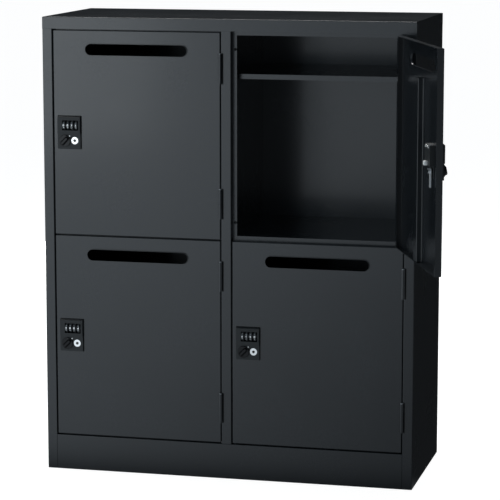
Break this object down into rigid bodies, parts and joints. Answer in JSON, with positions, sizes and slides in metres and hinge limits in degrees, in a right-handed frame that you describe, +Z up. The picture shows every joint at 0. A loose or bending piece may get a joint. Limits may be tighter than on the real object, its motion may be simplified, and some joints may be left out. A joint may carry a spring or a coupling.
{
  "type": "office locker with mail slots",
  "caption": "Steel office locker with hinged doors in a two by two grid, each with a mail slot, an inner mail shelf, a dial lock and a turn knob.",
  "frame": {"origin": "on the floor, under the middle of the cabinet's 900 by 380 mm footprint", "axes": "+Z up, the doors face -Y, +X to the viewer's right when facing the doors"},
  "size_m": [1.0301, 0.7724, 1.1],
  "materials": {
    "charcoal_paint": "satin powder coat",
    "lock_plastic": "fine matt moulding",
    "knob_plastic": "semi-gloss moulding",
    "dial_plastic": "satin moulding",
    "bright_chrome": "bright plated",
    "plated_steel": "zinc plated",
    "silver_foil": "hot stamped",
    "white_nylon": "plain moulding",
    "black_rubber": "matt"
  },
  "bodies": {
    "cabinet": {"back_panel": "charcoal_paint", "centre_partition": "charcoal_paint", "centre_post": "charcoal_paint", "decks": "charcoal_paint", "hinge_frame_halves": "charcoal_paint", "levelling_feet": "plated_steel", "mail_shelves": "charcoal_paint", "plinth_frame": "charcoal_paint", "shelf_brackets": "charcoal_paint", "side_panel_left": "charcoal_paint", "side_panel_right": "charcoal_paint", "top_panel": "charcoal_paint"},
    "upper_left_door": {"upper_left_door_panel": "charcoal_paint", "upper_left_door_stiffener": "charcoal_paint", "upper_left_door_hinge_halves": "charcoal_paint", "upper_left_lock_case": "lock_plastic", "upper_left_lock_metalwork": "bright_chrome"},
    "upper_left_knob": {"upper_left_turn_knob": "knob_plastic", "upper_left_locking_cam": "plated_steel"},
    "upper_left_key_plug": {"upper_left_key_plug": "bright_chrome"},
    "upper_left_dial_1": {"upper_left_dial_1": "dial_plastic"},
    "upper_left_dial_2": {"upper_left_dial_2": "dial_plastic"},
    "upper_left_dial_3": {"upper_left_dial_3": "dial_plastic"},
    "upper_left_dial_4": {"upper_left_dial_4": "dial_plastic"},
    "upper_right_door": {"upper_right_door_panel": "charcoal_paint", "upper_right_door_stiffener": "charcoal_paint", "upper_right_door_hinge_halves": "charcoal_paint", "upper_right_lock_case": "lock_plastic", "upper_right_lock_metalwork": "bright_chrome"},
    "upper_right_knob": {"upper_right_turn_knob": "knob_plastic", "upper_right_locking_cam": "plated_steel"},
    "upper_right_key_plug": {"upper_right_key_plug": "bright_chrome"},
    "upper_right_dial_1": {"upper_right_dial_1": "dial_plastic"},
    "upper_right_dial_2": {"upper_right_dial_2": "dial_plastic"},
    "upper_right_dial_3": {"upper_right_dial_3": "dial_plastic"},
    "upper_right_dial_4": {"upper_right_dial_4": "dial_plastic"},
    "lower_left_door": {"lower_left_door_panel": "charcoal_paint", "lower_left_door_stiffener": "charcoal_paint", "lower_left_door_hinge_halves": "charcoal_paint", "lower_left_lock_case": "lock_plastic", "lower_left_lock_metalwork": "bright_chrome"},
    "lower_left_knob": {"lower_left_turn_knob": "knob_plastic", "lower_left_locking_cam": "plated_steel"},
    "lower_left_key_plug": {"lower_left_key_plug": "bright_chrome"},
    "lower_left_dial_1": {"lower_left_dial_1": "dial_plastic"},
    "lower_left_dial_2": {"lower_left_dial_2": "dial_plastic"},
    "lower_left_dial_3": {"lower_left_dial_3": "dial_plastic"},
    "lower_left_dial_4": {"lower_left_dial_4": "dial_plastic"},
    "lower_right_door": {"lower_right_door_panel": "charcoal_paint", "lower_right_door_stiffener": "charcoal_paint", "lower_right_door_hinge_halves": "charcoal_paint", "lower_right_lock_case": "lock_plastic", "lower_right_lock_metalwork": "bright_chrome"},
    "lower_right_knob": {"lower_right_turn_knob": "knob_plastic", "lower_right_locking_cam": "plated_steel"},
    "lower_right_key_plug": {"lower_right_key_plug": "bright_chrome"},
    "lower_right_dial_1": {"lower_right_dial_1": "dial_plastic"},
    "lower_right_dial_2": {"lower_right_dial_2": "dial_plastic"},
    "lower_right_dial_3": {"lower_right_dial_3": "dial_plastic"},
    "lower_right_dial_4": {"lower_right_dial_4": "dial_plastic"}
  },
  "joints": [
    {"name": "upper_left_door_hinge", "type": "hinge", "parent": "cabinet", "child": "upper_left_door", "pos_m": [-0.013, -0.1948, 0.8245], "axis": [0, 0, 1], "range_deg": [0, 112]},
    {"name": "upper_left_knob_turn", "type": "hinge", "parent": "upper_left_door", "child": "upper_left_knob", "pos_m": [-0.3943, -0.19, 0.806], "axis": [0, 1, 0], "range_deg": [0, 90]},
    {"name": "upper_left_key_turn", "type": "hinge", "parent": "upper_left_door", "child": "upper_left_key_plug", "pos_m": [-0.37, -0.19, 0.807], "axis": [0, 1, 0], "range_deg": [0, 90]},
    {"name": "upper_left_dial_1_spin", "type": "hinge", "parent": "upper_left_door", "child": "upper_left_dial_1", "pos_m": [-0.3975, -0.186, 0.843], "axis": [1, 0, 0], "continuous": true},
    {"name": "upper_left_dial_2_spin", "type": "hinge", "parent": "upper_left_door", "child": "upper_left_dial_2", "pos_m": [-0.3875, -0.186, 0.843], "axis": [1, 0, 0], "continuous": true},
    {"name": "upper_left_dial_3_spin", "type": "hinge", "parent": "upper_left_door", "child": "upper_left_dial_3", "pos_m": [-0.3775, -0.186, 0.843], "axis": [1, 0, 0], "continuous": true},
    {"name": "upper_left_dial_4_spin", "type": "hinge", "parent": "upper_left_door", "child": "upper_left_dial_4", "pos_m": [-0.3675, -0.186, 0.843], "axis": [1, 0, 0], "continuous": true},
    {"name": "upper_right_door_hinge", "type": "hinge", "parent": "cabinet", "child": "upper_right_door", "pos_m": [0.425, -0.1948, 0.8245], "axis": [0, 0, 1], "range_deg": [-112, 0]},
    {"name": "upper_right_knob_turn", "type": "hinge", "parent": "upper_right_door", "child": "upper_right_knob", "pos_m": [0.56339, -0.55013, 0.806], "axis": [-0.9272, -0.3746, 0], "range_deg": [0, 90]},
    {"name": "upper_right_key_turn", "type": "hinge", "parent": "upper_right_door", "child": "upper_right_key_plug", "pos_m": [0.55428, -0.5276, 0.807], "axis": [-0.9272, -0.3746, 0], "range_deg": [0, 90]},
    {"name": "upper_right_dial_1_spin", "type": "hinge", "parent": "upper_right_door", "child": "upper_right_dial_1", "pos_m": [0.56088, -0.5546, 0.843], "axis": [-0.3746, 0.9272, 0], "continuous": true},
    {"name": "upper_right_dial_2_spin", "type": "hinge", "parent": "upper_right_door", "child": "upper_right_dial_2", "pos_m": [0.55713, -0.54533, 0.843], "axis": [-0.3746, 0.9272, 0], "continuous": true},
    {"name": "upper_right_dial_3_spin", "type": "hinge", "parent": "upper_right_door", "child": "upper_right_dial_3", "pos_m": [0.55339, -0.53605, 0.843], "axis": [-0.3746, 0.9272, 0], "continuous": true},
    {"name": "upper_right_dial_4_spin", "type": "hinge", "parent": "upper_right_door", "child": "upper_right_dial_4", "pos_m": [0.54964, -0.52678, 0.843], "axis": [-0.3746, 0.9272, 0], "continuous": true},
    {"name": "lower_left_door_hinge", "type": "hinge", "parent": "cabinet", "child": "lower_left_door", "pos_m": [-0.013, -0.1948, 0.3325], "axis": [0, 0, 1], "range_deg": [0, 112]},
    {"name": "lower_left_knob_turn", "type": "hinge", "parent": "lower_left_door", "child": "lower_left_knob", "pos_m": [-0.3943, -0.19, 0.314], "axis": [0, 1, 0], "range_deg": [0, 90]},
    {"name": "lower_left_key_turn", "type": "hinge", "parent": "lower_left_door", "child": "lower_left_key_plug", "pos_m": [-0.37, -0.19, 0.315], "axis": [0, 1, 0], "range_deg": [0, 90]},
    {"name": "lower_left_dial_1_spin", "type": "hinge", "parent": "lower_left_door", "child": "lower_left_dial_1", "pos_m": [-0.3975, -0.186, 0.351], "axis": [1, 0, 0], "continuous": true},
    {"name": "lower_left_dial_2_spin", "type": "hinge", "parent": "lower_left_door", "child": "lower_left_dial_2", "pos_m": [-0.3875, -0.186, 0.351], "axis": [1, 0, 0], "continuous": true},
    {"name": "lower_left_dial_3_spin", "type": "hinge", "parent": "lower_left_door", "child": "lower_left_dial_3", "pos_m": [-0.3775, -0.186, 0.351], "axis": [1, 0, 0], "continuous": true},
    {"name": "lower_left_dial_4_spin", "type": "hinge", "parent": "lower_left_door", "child": "lower_left_dial_4", "pos_m": [-0.3675, -0.186, 0.351], "axis": [1, 0, 0], "continuous": true},
    {"name": "lower_right_door_hinge", "type": "hinge", "parent": "cabinet", "child": "lower_right_door", "pos_m": [0.425, -0.1948, 0.3325], "axis": [0, 0, 1], "range_deg": [0, 112]},
    {"name": "lower_right_knob_turn", "type": "hinge", "parent": "lower_right_door", "child": "lower_right_knob", "pos_m": [0.0437, -0.19, 0.314], "axis": [0, 1, 0], "range_deg": [0, 90]},
    {"name": "lower_right_key_turn", "type": "hinge", "parent": "lower_right_door", "child": "lower_right_key_plug", "pos_m": [0.068, -0.19, 0.315], "axis": [0, 1, 0], "range_deg": [0, 90]},
    {"name": "lower_right_dial_1_spin", "type": "hinge", "parent": "lower_right_door", "child": "lower_right_dial_1", "pos_m": [0.0405, -0.186, 0.351], "axis": [1, 0, 0], "continuous": true},
    {"name": "lower_right_dial_2_spin", "type": "hinge", "parent": "lower_right_door", "child": "lower_right_dial_2", "pos_m": [0.0505, -0.186, 0.351], "axis": [1, 0, 0], "continuous": true},
    {"name": "lower_right_dial_3_spin", "type": "hinge", "parent": "lower_right_door", "child": "lower_right_dial_3", "pos_m": [0.0605, -0.186, 0.351], "axis": [1, 0, 0], "continuous": true},
    {"name": "lower_right_dial_4_spin", "type": "hinge", "parent": "lower_right_door", "child": "lower_right_dial_4", "pos_m": [0.0705, -0.186, 0.351], "axis": [1, 0, 0], "continuous": true}
  ]
}
